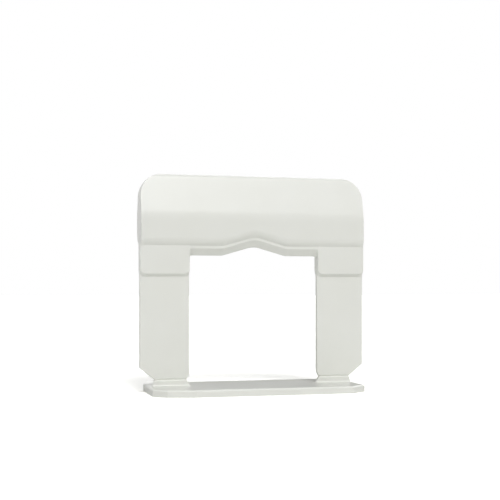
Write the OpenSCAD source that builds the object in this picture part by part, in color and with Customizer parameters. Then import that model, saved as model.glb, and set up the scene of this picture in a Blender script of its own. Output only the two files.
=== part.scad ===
// Tile leveling clip, moulded in one piece from off-white polypropylene.
// It stands on its base. X runs from leg to leg, the front is at -Y and Z = 0 is the underside.

/* [Legs] */
// Width across the outsides of the two legs
leg_span = 48; // [44:0.5:58]
// Width of the window between the legs, where the wedge is driven through
window_w = 27.6; // [24:0.1:32]
// Height of the window, from the top of the base to the straight parts of the lip
window_h = 28.3; // [24:0.1:36]
// Radius of the upper corners of the window, at the faces of the lip
window_r = 0.45; // [0.2:0.05:1.2]
// Radius of the same corners at the bottom of the tapered edge of the lip
window_edge_r = 0.85; // [0.2:0.05:1.2]
// Thickness of a leg, which is the width of the joint between two tiles
leg_t = 1.1; // [0.8:0.1:2]

/* [Pads at the tops of the legs] */
// Thickness of the pads and of the lip between them
pad_t = 2.5; // [2.2:0.1:3.6]
// Height of the pads, from the straight parts of the lip down to their lower edge
pad_h = 5.2; // [3:0.1:8]
// Height of the ramp from the lower edge of a pad down to the leg
pad_ramp = 0.55; // [0.3:0.05:1.5]
// Radius of the lower corners of a pad
pad_corner = 1.1; // [0.4:0.1:2.5]

/* [Lip over the window] */
// How far the faces of the lip lie inside the faces of the pads
lip_in = 0.05; // [0.02:0.01:0.3]
// Height of the upright face of the lip, below the head
lip_face = 0.55; // [0.3:0.05:2]
// Depth of the tapered edge under the lip
lip_edge = 1.45; // [0.6:0.05:2]
// Width of the flat at the bottom of the tapered edge
lip_flat = 0.3; // [0.1:0.1:1]
// Width of the arch in the lip
arch_w = 13.5; // [8:0.5:18]
// Height at which the two slopes of the arch would meet
arch_h = 1.95; // [0.5:0.05:3]
// Radius at the top of the arch
arch_top_r = 4.5; // [1:0.5:6]
// Radius where the arch meets the straight parts of the lip
arch_foot_r = 2; // [0.5:0.5:3]

/* [Head] */
// Height of the head above the straight parts of the lip
head_h = 15.3; // [12:0.1:20]
// How far the ends of the head lie inside the outsides of the legs
head_in = 0.1; // [0.05:0.05:1]
// How far the front of the head stands out of the pads
front_out = 0.65; // [0.3:0.05:3]
// How far the rear of the head stands out of the pads
rear_out = 2.75; // [0.3:0.05:4]
// Thickness of the head at its rounded top
crown_t = 2.2; // [1.4:0.1:3]
// Height of the upright band between the lower edge of the head and its leaning faces
band_h = 0.45; // [0.1:0.05:2]
// Radius of the soft bend where the faces of the head start to lean
lean_r = 9; // [4:0.5:14]
// Radius of the lower edge of the head at the front
front_r = 2.2; // [1.6:0.05:3]
// Radius of the lower edge of the head at the rear
rear_r = 2.65; // [2:0.05:3]
// Radius of the upper corners of the head, seen from the front
head_corner = 4.7; // [2:0.1:7]

/* [Break line and feet] */
// Height of the break line above the base
break_h = 1.4; // [0.8:0.1:3]
// How far the neck at the break line lies in from the inside of a leg
neck_in = 0.55; // [0.2:0.05:1.5]
// Height of the slope from the inside of a leg down to the neck
neck_in_h = 0.9; // [0.4:0.05:2]
// How far the neck lies in from the outside of a leg
neck_out = 3; // [1:0.1:4]
// Height of the slope from the outside of a leg down to the neck
neck_out_h = 2.5; // [1:0.1:5]
// Depth of the break groove on each face of a leg
groove_d = 0.25; // [0.1:0.05:0.3]
// Height of the break groove
groove_h = 0.4; // [0.2:0.1:0.8]
// How far a foot spreads past the neck on the inside
foot_in = 0.85; // [0.2:0.05:1.5]
// How far a foot spreads past the neck on the outside
foot_out = 0.4; // [0.2:0.05:1.5]
// Radius between the faces of a foot and the top of the base
foot_r = 0.45; // [0.1:0.05:0.7]

/* [Base] */
// Thickness of the base
base_t = 1.5; // [1:0.1:3]
// Width of the base, from front to rear under the tiles
base_w = 18.4; // [14:0.1:30]
// Width of the bevel round the top of the base
base_bevel = 0.25; // [0.1:0.05:0.4]
// How far the base runs on past the feet at each end
base_end = 0.8; // [0.3:0.1:3]
// Length of the plain cut at one corner of each long side
cut_len = 3.3; // [1:0.1:5]
// Width of the plain cut
cut_w = 2.4; // [1:0.1:4]
// Length of the steep part of the double cut at the other corner
steep_len = 2.6; // [1:0.1:5]
// Width of the steep part of the double cut
steep_w = 2.2; // [1:0.1:4]
// Length of the shallow part of the double cut
shallow_len = 5.6; // [1:0.1:9]
// Width of the shallow part of the double cut
shallow_w = 1.4; // [0.2:0.1:2]

/* [Hidden] */
off_white = [0.91, 0.915, 0.89];

// Steps in a full turn, in a bend and in a rounded edge
$fn = 96;
bend_steps = 5;
round_steps = 8;
// How far a cutting shape stands out of what it cuts
over = 1;
// How far the top of a pad runs up inside the head
pad_sink = 0.4;

// Heights above the table
lip_z = base_t + window_h;
under_z = lip_z + lip_face;
top_z = lip_z + head_h;
pad_z = lip_z - pad_h;
break_z = base_t + break_h;
lean_z = under_z + max(front_r, rear_r) + arch_h + band_h;
crown_z = top_z - crown_t / 2;

// The top of a pad, inside the head, and the height of its ramp down to the middle of the leg
pad_top = under_z + pad_sink;
ramp_h = pad_ramp * pad_t / (pad_t - leg_t);

// Places along the clip, from its middle
leg_inner = window_w / 2;
leg_outer = leg_span / 2;
neck_inner = leg_inner + neck_in;
neck_outer = leg_outer - neck_out;
foot_inner = neck_inner - foot_in;
foot_outer = neck_outer + foot_out;
pad_left = leg_inner + pad_corner;
pad_right = leg_outer - pad_corner;
head_end = leg_outer - head_in;
base_x = foot_outer + base_end;
base_y = base_w / 2;

lip_y = pad_t / 2 - lip_in;

// The head is as deep behind its own middle as in front of it
head_half = (pad_t + front_out + rear_out) / 2;
head_mid = (rear_out - front_out) / 2;

// Angle of the leaning faces, whose straight part touches the bend and the rounded top
to_crown = [lean_r - head_half, crown_z - lean_z];
lean = atan2(to_crown[1], to_crown[0]) - acos((lean_r - crown_t / 2) / norm(to_crown));

// Angle of the slopes of the arch
slope = atan(arch_h / (arch_w / 2));

// Where the lip ends in the leg, and the wider of its two radii there
corner_x = leg_inner + lip_in;
corner_r = max(window_r, window_edge_r);

// Stations along the head, each with its distance from the middle and the rise of the arch there.
// They lie close together in the bends of the arch and in the corners of the window.
function arch_top(a) =
    [arch_top_r * sin(a), arch_h + arch_top_r * (cos(a) - 1 / cos(slope))];
function arch_foot(a) =
    [arch_w / 2 + arch_foot_r * (tan(slope / 2) - sin(a)), arch_foot_r * (1 - cos(a))];
half_stations = concat(
    [for (i = [0 : bend_steps]) arch_top(slope * i / bend_steps)],
    [for (i = [bend_steps : -1 : 0]) arch_foot(slope * i / bend_steps)],
    [for (i = [0 : round_steps]) [corner_x - corner_r * (1 - sin(90 * i / round_steps)), 0]],
    [[head_end, 0]]);
stations = concat(
    [for (i = [len(half_stations) - 1 : -1 : 1]) [-half_stations[i][0], half_stations[i][1]]],
    half_stations);

// How far the lip has turned down into the corner of the window at a station, with the radius r
function drop(s, r) =
    let (run = max(0, abs(s[0]) - corner_x + r))
    r - sqrt(max(0, r * r - run * run));

// One side of the lip at a station, from the bottom of its tapered edge to its face
function lip_low(s) = [
    [lip_flat / 2, lip_z - lip_edge + s[1] - drop(s, window_edge_r)],
    [lip_y, lip_z + s[1] - drop(s, window_r)]];

// The lower half of one face of the head, up round its lower edge, which has the radius r and
// stands out of the lip by reach
function face_low(reach, r) =
    let (turn = acos(max(0, 1 - reach / r)))
    [for (i = [round_steps : -1 : 0])
        let (a = turn * i / round_steps)
        [lip_y + reach - max(r, reach) * (1 - cos(a)), under_z + r * (sin(turn) - sin(a))]];
front_low = face_low(front_out + lip_in, front_r);
rear_low = face_low(rear_out + lip_in, rear_r);

// The upper half, from the bend up to the crown, measured from the middle of the head
face_high = concat(
    [for (i = [0 : bend_steps])
        let (a = lean * i / bend_steps)
        [head_half - lean_r * (1 - cos(a)), lean_z + lean_r * sin(a)]],
    [for (i = [0 : round_steps - 1])
        let (a = lean + (90 - lean) * i / round_steps)
        crown_t / 2 * [cos(a), sin(a)] + [0, crown_z]]);

// The section of the head at a station, front face upwards and rear face downwards
function section(s) = concat(
    [for (p = lip_low(s)) [-p[0], p[1]]],
    [for (p = front_low) [-p[0], p[1] + s[1]]],
    [for (p = face_high) [head_mid - p[0], p[1]]],
    [[head_mid, top_z]],
    [for (i = [len(face_high) - 1 : -1 : 0]) [head_mid + face_high[i][0], face_high[i][1]]],
    [for (i = [len(rear_low) - 1 : -1 : 0]) [rear_low[i][0], rear_low[i][1] + s[1]]],
    [for (i = [1, 0]) lip_low(s)[i]]);

// Sections joined one after another along X
module head_loft() {
    n = len(section(stations[0]));
    m = len(stations);
    points = [for (s = stations) for (p = section(s)) [s[0], p[0], p[1]]];
    sides = [for (i = [0 : m - 2]) for (j = [0 : n - 1])
        let (k = (j + 1) % n) [i * n + j, i * n + k, (i + 1) * n + k, (i + 1) * n + j]];
    first_end = [for (j = [n - 1 : -1 : 0]) j];
    last_end = [for (j = [0 : n - 1]) (m - 1) * n + j];
    polyhedron(points, concat(sides, [first_end, last_end]));
}

// An outline drawn in X and Z, given a thickness that lies evenly about Y = 0
module upright(thickness) {
    rotate([90, 0, 0]) linear_extrude(thickness, center = true) children();
}

// What a square has outside a quarter circle, which rounds an upper corner of the head
module corner_cut() {
    translate([head_end - head_corner, 0, top_z - head_corner])
        upright(4 * head_half) difference() {
            square(head_corner + over);
            circle(head_corner);
        }
}

module head() {
    difference() {
        head_loft();
        for (side = [0, 1]) mirror([side, 0, 0]) corner_cut();
    }
}

module leg() {
    upright(leg_t) polygon([
        [leg_inner, under_z],
        [leg_inner, break_z + neck_in_h],
        [neck_inner, break_z],
        [neck_outer, break_z],
        [leg_outer, break_z + neck_out_h],
        [leg_outer, under_z]]);
}

// A pad seen from the front, with round lower corners, its top inside the head
module pad_outline() {
    translate([leg_inner, pad_z + pad_corner])
        square([leg_outer - leg_inner, pad_top - pad_z - pad_corner]);
    translate([pad_left, pad_z]) square([pad_right - pad_left, 2 * pad_corner]);
    for (x = [pad_left, pad_right])
        translate([x, pad_z + pad_corner]) circle(pad_corner);
}

// The ramp under a pad, seen from the end. It meets the faces of the leg and ends inside the leg.
module ramp_section() {
    polygon([
        [0, pad_z - ramp_h],
        [pad_t / 2, pad_z],
        [pad_t / 2, pad_z + pad_corner],
        [-pad_t / 2, pad_z + pad_corner],
        [-pad_t / 2, pad_z]]);
}

// The same ramp round a lower corner
module ramp_corner() {
    for (side = [0, 1])
        mirror([0, side, 0])
            rotate([90, 0, 0])
                cylinder(h = pad_t / 2, r1 = pad_corner + ramp_h, r2 = pad_corner);
}

module pad() {
    upright(pad_t) pad_outline();
    intersection() {
        union() {
            translate([pad_left, 0, 0])
                rotate([90, 0, 90]) linear_extrude(pad_right - pad_left) ramp_section();
            for (x = [pad_left, pad_right])
                translate([x, 0, pad_z + pad_corner]) ramp_corner();
        }
        upright(pad_t)
            translate([leg_inner, pad_z - ramp_h])
                square([leg_outer - leg_inner, pad_top - pad_z + ramp_h]);
    }
}

// A foot seen from the end, with a round down into the base on each side
module foot_section() {
    foot_side = [for (i = [0 : bend_steps])
        let (a = 90 * i / bend_steps)
        [leg_t / 2 + foot_r * (1 - sin(a)), base_t + foot_r * (1 - cos(a))]];
    polygon(concat(
        foot_side,
        [[leg_t / 2, break_z], [-leg_t / 2, break_z]],
        [for (i = [bend_steps : -1 : 0]) [-foot_side[i][0], foot_side[i][1]]]));
}

// A foot spreads from the neck to the base
module foot() {
    intersection() {
        translate([foot_inner, 0, 0])
            rotate([90, 0, 90]) linear_extrude(foot_outer - foot_inner) foot_section();
        upright(leg_t + 2 * (foot_r + over))
            polygon([
                [neck_inner, break_z],
                [foot_inner, base_t],
                [foot_outer, base_t],
                [neck_outer, break_z]]);
    }
}

// The break groove, a notch of triangular section in both faces of a leg
module groove() {
    for (side = [0, 1])
        mirror([0, side, 0])
            translate([neck_inner - over, 0, break_z])
                rotate([90, 0, 90])
                    linear_extrude(neck_outer - neck_inner + 2 * over)
                        polygon([
                            [groove_d - leg_t / 2, 0],
                            [-leg_t / 2, groove_h / 2],
                            [-leg_t / 2 - over, groove_h / 2],
                            [-leg_t / 2 - over, -groove_h / 2],
                            [-leg_t / 2, -groove_h / 2]]);
}

// Half of the outline of the base, which looks the same after half a turn
base_edge = [
    [-base_x, steep_w + shallow_w - base_y],
    [-base_x + steep_len, shallow_w - base_y],
    [-base_x + steep_len + shallow_len, -base_y],
    [base_x - cut_len, -base_y],
    [base_x, cut_w - base_y]];

module base_outline() {
    polygon(concat(base_edge, [for (p = base_edge) -p]));
}

module base() {
    hull() {
        linear_extrude(base_t - base_bevel) base_outline();
        linear_extrude(base_t) offset(delta = -base_bevel) base_outline();
    }
}

module clip() {
    color(off_white) difference() {
        union() {
            head();
            base();
            for (side = [0, 1]) mirror([side, 0, 0]) {
                leg();
                pad();
                foot();
            }
        }
        for (side = [0, 1]) mirror([side, 0, 0]) groove();
    }
}

clip();
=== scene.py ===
import math

import bmesh
import bpy
from mathutils import Matrix, Vector


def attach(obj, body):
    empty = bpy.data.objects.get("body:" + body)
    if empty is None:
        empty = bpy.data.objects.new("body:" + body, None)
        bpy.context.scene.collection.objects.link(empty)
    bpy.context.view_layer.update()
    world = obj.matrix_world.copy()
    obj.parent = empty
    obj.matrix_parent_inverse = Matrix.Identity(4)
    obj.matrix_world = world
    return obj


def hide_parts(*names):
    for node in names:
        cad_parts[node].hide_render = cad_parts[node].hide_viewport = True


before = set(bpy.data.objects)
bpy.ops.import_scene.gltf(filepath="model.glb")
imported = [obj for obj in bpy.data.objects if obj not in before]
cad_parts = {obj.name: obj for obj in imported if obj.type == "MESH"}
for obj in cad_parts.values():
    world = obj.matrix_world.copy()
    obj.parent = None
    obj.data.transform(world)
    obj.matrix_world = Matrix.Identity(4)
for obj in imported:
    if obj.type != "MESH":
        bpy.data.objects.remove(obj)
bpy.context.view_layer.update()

mm = 0.001
level = 90  # degrees about X at which a camera or a lamp looks along the floor
white = (1, 1, 1, 1)


def linear(hexColour):  # sRGB hex to linear RGBA, by the curve of the sRGB standard
    channels = [int(hexColour[i:i + 2], 16) / 255 for i in (1, 3, 5)]
    return [c / 12.92 if c <= 0.04045 else ((c + 0.055) / 1.055) ** 2.4 for c in channels] + [1]


def addNode(tree, kind, links=None, **settings):  # one node, its settings and what feeds it
    node = tree.nodes.new(kind)
    for name, value in settings.items():
        if name in node.inputs:
            node.inputs[name].default_value = value
        else:
            setattr(node, name, value)
    for name, source in (links or {}).items():
        tree.links.new(source, node.inputs[name])
    return node


# Camera: level, to the left of the front, at about half the part's height
view = {
    "turn": 14.65,      # degrees to the left of square on to the front
    "distance": 213.1,  # mm to the middle of the base
    "aside": 0.72,      # mm to the left of the line to that middle
    "height": 22.1,     # mm above the floor
    "lens": 73.3,       # mm, focal length
    "sensor": 36,       # mm, width
    "nearest": 10,      # mm, anything nearer isn't drawn
    "lift": 0.0716,     # share of the frame by which the view is shifted up, with the camera kept level
}


def placeCamera():
    turn = math.radians(view["turn"])
    sine, cosine = math.sin(turn), math.cos(turn)
    data = bpy.data.cameras.new("camera")
    data.lens = view["lens"]
    data.sensor_width = view["sensor"]
    data.shift_y = view["lift"]
    data.clip_start = view["nearest"] * mm
    camera = bpy.data.objects.new("camera", data)
    camera.location = Vector((
        -view["distance"] * sine - view["aside"] * cosine,
        -view["distance"] * cosine + view["aside"] * sine,
        view["height"])) * mm
    camera.rotation_euler = (math.radians(level), 0, -turn)
    bpy.context.scene.collection.objects.link(camera)
    bpy.context.scene.camera = camera
    print("camera stands")


# Studio: an even pale surround and soft lamps, mostly from the front
studio = {
    "surround": 0.25,  # brightness by which it lights the part, where 1 is white
    "backdrop": 1.0,   # the same, as the camera, gloss and glass show it
    "lamps": {  # degrees to the right of the front, degrees up, strength, degrees across
        "main light": (2, 44, 0.46, 24),  # a strength of 1 lights a facing surface to its own colour
        "high fill": (0, 70, 0.02, 60),
        "front fill": (10, 8, 0.02, 24),
        "left fill": (-35, 8, 0.07, 30),
        "back fill": (125, 24, 0.26, 24),
    },
}


def lightStudio():
    world = bpy.data.worlds.new("studio")
    world.use_nodes = True
    bpy.context.scene.world = world
    tree = world.node_tree
    tree.nodes.clear()
    light = addNode(tree, "ShaderNodeBackground", Strength=studio["surround"], Color=white)
    backdrop = addNode(tree, "ShaderNodeBackground", Strength=studio["backdrop"], Color=white)
    path = addNode(tree, "ShaderNodeLightPath").outputs
    mirrored = addNode(tree, "ShaderNodeMath",
                       {0: path["Is Glossy Ray"], 1: path["Is Transmission Ray"]}, operation="MAXIMUM")
    seen = addNode(tree, "ShaderNodeMath",
                   {0: mirrored.outputs[0], 1: path["Is Camera Ray"]}, operation="MAXIMUM")
    mix = addNode(tree, "ShaderNodeMixShader",
                  {0: seen.outputs[0], 1: light.outputs[0], 2: backdrop.outputs[0]})
    addNode(tree, "ShaderNodeOutputWorld", {"Surface": mix.outputs[0]})

    for name, (turn, height, strength, across) in studio["lamps"].items():
        data = bpy.data.lights.new(name, "SUN")
        data.energy = strength * math.pi
        data.angle = math.radians(across)
        lamp = bpy.data.objects.new(name, data)
        lamp.rotation_euler = (math.radians(level - height), 0, math.radians(turn))
        bpy.context.scene.collection.objects.link(lamp)
    print("lamps hang")


def addStage(name, bm, material):  # a thing of the studio, which isn't part of the object
    mesh = bpy.data.meshes.new(name)
    bm.to_mesh(mesh)
    bm.free()
    mesh.materials.append(material)
    item = bpy.data.objects.new(name, mesh)
    bpy.context.scene.collection.objects.link(item)
    return item


# Table: backlit a little, which lights the part's faces that turn down. It shows brighter to the camera and
# in gloss than it lights the part, so that it comes out white with a faint shadow.
table = {
    "size": 4000,  # mm
    "colour": "#f2f2f0",
    "glow": 0.18,
    "cameraGain": 2.2,
    "glossGain": 1.3,
}


def backlitAcrylic():  # matt and milky: even, with no reflection of the part
    material = bpy.data.materials.new("matt white acrylic")
    material.use_nodes = True
    tree = material.node_tree
    tree.nodes.clear()
    red, green, blue, _ = linear(table["colour"])
    plain, inGloss, inView = (
        addNode(tree, "ShaderNodeBsdfDiffuse", Color=(gain * red, gain * green, gain * blue, 1)).outputs[0]
        for gain in (1, table["glossGain"], table["cameraGain"]))
    path = addNode(tree, "ShaderNodeLightPath").outputs
    mirrored = addNode(tree, "ShaderNodeMath",
                       {0: path["Is Glossy Ray"], 1: path["Is Transmission Ray"]}, operation="MAXIMUM")
    glow = addNode(tree, "ShaderNodeEmission", Strength=table["glow"], Color=white)
    lit = addNode(tree, "ShaderNodeAddShader", {0: plain, 1: glow.outputs[0]})
    unseen = addNode(tree, "ShaderNodeMixShader", {0: mirrored.outputs[0], 1: lit.outputs[0], 2: inGloss})
    top = addNode(tree, "ShaderNodeMixShader",
                  {0: path["Is Camera Ray"], 1: unseen.outputs[0], 2: inView})
    addNode(tree, "ShaderNodeOutputMaterial", {"Surface": top.outputs[0]})
    return material


def layFloor():
    bm = bmesh.new()
    bmesh.ops.create_grid(bm, x_segments=1, y_segments=1, size=table["size"] * mm / 2)
    addStage("floor", bm, backlitAcrylic())
    print("floor lies")


def glowing(name, strength):  # the same brightness from every side, as cloth before a lamp; at a low glow, a dark card that paints shade into reflections
    material = bpy.data.materials.new(name)
    material.use_nodes = True
    tree = material.node_tree
    tree.nodes.clear()
    glow = addNode(tree, "ShaderNodeEmission", Strength=strength, Color=white)
    addNode(tree, "ShaderNodeOutputMaterial", {"Surface": glow.outputs[0]})
    return material


def onlyInGloss(item):
    item.visible_camera = item.visible_diffuse = False
    item.visible_shadow = item.visible_transmission = False


# Softbox, seen by gloss alone: it brightens the edge of the crown
softbox = {
    "size": 1400,   # mm
    "height": 400,  # mm above the floor
    "glow": 2.4,
}


def hangSoftbox():
    bm = bmesh.new()
    bmesh.ops.create_grid(bm, x_segments=1, y_segments=1, size=softbox["size"] * mm / 2)
    bmesh.ops.translate(bm, verts=bm.verts, vec=(0, 0, softbox["height"] * mm))
    onlyInGloss(addStage("softbox overhead", bm, glowing("white diffuser cloth", softbox["glow"])))
    print("softbox hangs")


# Cards, seen by gloss alone: curved and low, beside and behind the part, they set the base's top and cut
# corners off from the white floor. Their dim glow is painted shade in the reflections there; they light and
# shade nothing.
cards = {
    "steps": 24,  # along the curve
    "places": {   # degrees to the right of the front where it starts and ends, mm away, mm high, glow
        "right card": (50, 180, 110, 30, 0.03),
        "left card": (-110, -50, 110, 30, 0.03),
    },
}


def standCards():
    for name, (start, end, away, high, glow) in cards["places"].items():
        bm = bmesh.new()
        foot, top = (bm.verts.new((0, -away * mm, height * mm)) for height in (0, high))
        upright = [foot, top, bm.edges.new((foot, top))]
        bmesh.ops.rotate(bm, verts=[foot, top], matrix=Matrix.Rotation(math.radians(start), 3, "Z"))
        bmesh.ops.spin(bm, geom=upright, cent=(0, 0, 0), axis=(0, 0, 1),
                       angle=math.radians(end - start), steps=cards["steps"])
        # painted shade in reflections: a dim glow that only gloss sees
        onlyInGloss(addStage(name, bm, glowing("dark card painted in reflections", glow)))
    print("cards stand")


# Natural polypropylene, injection moulded in a finely eroded steel mould. To the eye it is off-white,
# waxy and a little translucent, with a soft satin gloss that wavers where the melt has flowed.
plastic = {
    "colour": "#e4e5e0",
    "clouded": "#e0e1da",       # where the melt is a little denser
    "clouds": 9,                # mm across
    "roughness": (0.27, 0.33),  # lowest and highest, as the waves go
    "ior": 1.49,
    "translucent": 0.12,        # share of the light that goes under the skin
    "depth": 1.2,               # mm that it travels there
    "spread": (1, 1, 1),        # of its red, green and blue, alike in an uncoloured plastic
    "grain": 0.3,               # mm; a real spark grain of about 0.05 mm, drawn coarser so that it shows
    "grainHeight": 0.0009,      # mm
    "waves": 5,                 # mm across, the faint unevenness of a cooled flat face
    "waveHeight": 0.004,        # mm
    "octaves": 2,               # of finer noise in the clouds, waves and grain
}


def mouldedPolypropylene():
    material = bpy.data.materials.new("moulded polypropylene")
    material.use_nodes = True
    tree = material.node_tree
    tree.nodes.clear()
    place = addNode(tree, "ShaderNodeTexCoord").outputs["Object"]

    clouds, waves, grain = (
        addNode(tree, "ShaderNodeTexNoise", {"Vector": place}, Scale=1 / (plastic[pattern] * mm),
                Detail=plastic["octaves"])
        for pattern in ("clouds", "waves", "grain"))

    tint = addNode(tree, "ShaderNodeMix", {0: clouds.outputs[0]}, data_type="RGBA")
    tint.inputs[6].default_value = linear(plastic["colour"])  # sockets 6 and 7 are the two colours
    tint.inputs[7].default_value = linear(plastic["clouded"])

    gloss = addNode(tree, "ShaderNodeMapRange", {0: waves.outputs[0]})
    gloss.inputs["To Min"].default_value, gloss.inputs["To Max"].default_value = plastic["roughness"]

    wavy = addNode(tree, "ShaderNodeBump", {"Height": waves.outputs[0]},
                   Distance=plastic["waveHeight"] * mm)
    grained = addNode(tree, "ShaderNodeBump", {"Height": grain.outputs[0], "Normal": wavy.outputs[0]},
                      Distance=plastic["grainHeight"] * mm)

    skin = addNode(tree, "ShaderNodeBsdfPrincipled",
                   {"Base Color": tint.outputs[2], "Roughness": gloss.outputs[0],
                    "Normal": grained.outputs[0]}, IOR=plastic["ior"])
    skin.inputs["Subsurface Weight"].default_value = plastic["translucent"]
    skin.inputs["Subsurface Radius"].default_value = plastic["spread"]
    skin.inputs["Subsurface Scale"].default_value = plastic["depth"] * mm
    addNode(tree, "ShaderNodeOutputMaterial", {"Surface": skin.outputs[0]})
    return material


# The moulding: the solid's own shape, with every edge eased to the small radius of a real mould
moulding = {
    "merged": 0.002,  # mm, corners of the solid's loose triangles nearer than this are one
    "voxel": 0.08,    # mm, of the even skin; a coarser one rounds the edges more
    "easing": 1,      # rounds of smoothing
    "pull": 0.5,      # of each point towards its neighbours in a round
    "kept": 0.11,     # share of the faces kept, most of them round the edges
}


def evaluated(item):  # its mesh as the modifiers leave it
    graph = bpy.context.evaluated_depsgraph_get()
    return bpy.data.meshes.new_from_object(item.evaluated_get(graph))


def mouldClip():
    bm = bmesh.new()
    bm.from_mesh(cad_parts["clip"].data)
    bmesh.ops.remove_doubles(bm, verts=bm.verts, dist=moulding["merged"] * mm)
    mesh = bpy.data.meshes.new("clip moulding")
    bm.to_mesh(mesh)
    bm.free()
    piece = bpy.data.objects.new("clipMoulding", mesh)
    bpy.context.scene.collection.objects.link(piece)

    fine = piece.modifiers.new("fine skin", "REMESH")
    fine.mode = "VOXEL"
    fine.voxel_size = moulding["voxel"] * mm
    piece.data = evaluated(piece)
    piece.modifiers.clear()

    bm = bmesh.new()
    bm.from_mesh(piece.data)
    for _ in range(moulding["easing"]):
        bmesh.ops.smooth_vert(bm, verts=bm.verts, factor=moulding["pull"],
                              use_axis_x=True, use_axis_y=True, use_axis_z=True)
    bm.to_mesh(piece.data)
    bm.free()

    lean = piece.modifiers.new("flat areas", "DECIMATE")
    lean.ratio = moulding["kept"]
    piece.data = evaluated(piece)
    piece.modifiers.clear()

    for face in piece.data.polygons:
        face.use_smooth = True
    weighted = piece.modifiers.new("face weighted", "WEIGHTED_NORMAL")
    weighted.mode = "FACE_AREA"  # the large faces stay flat to the light, and the edges take the turn
    piece.data.materials.clear()
    piece.data.materials.append(mouldedPolypropylene())
    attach(piece, "root")
    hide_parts("clip")
    print("moulding has", len(piece.data.polygons), "faces")


bpy.context.scene.view_settings.view_transform = "Standard"
placeCamera()
lightStudio()
layFloor()
hangSoftbox()
standCards()
mouldClip()
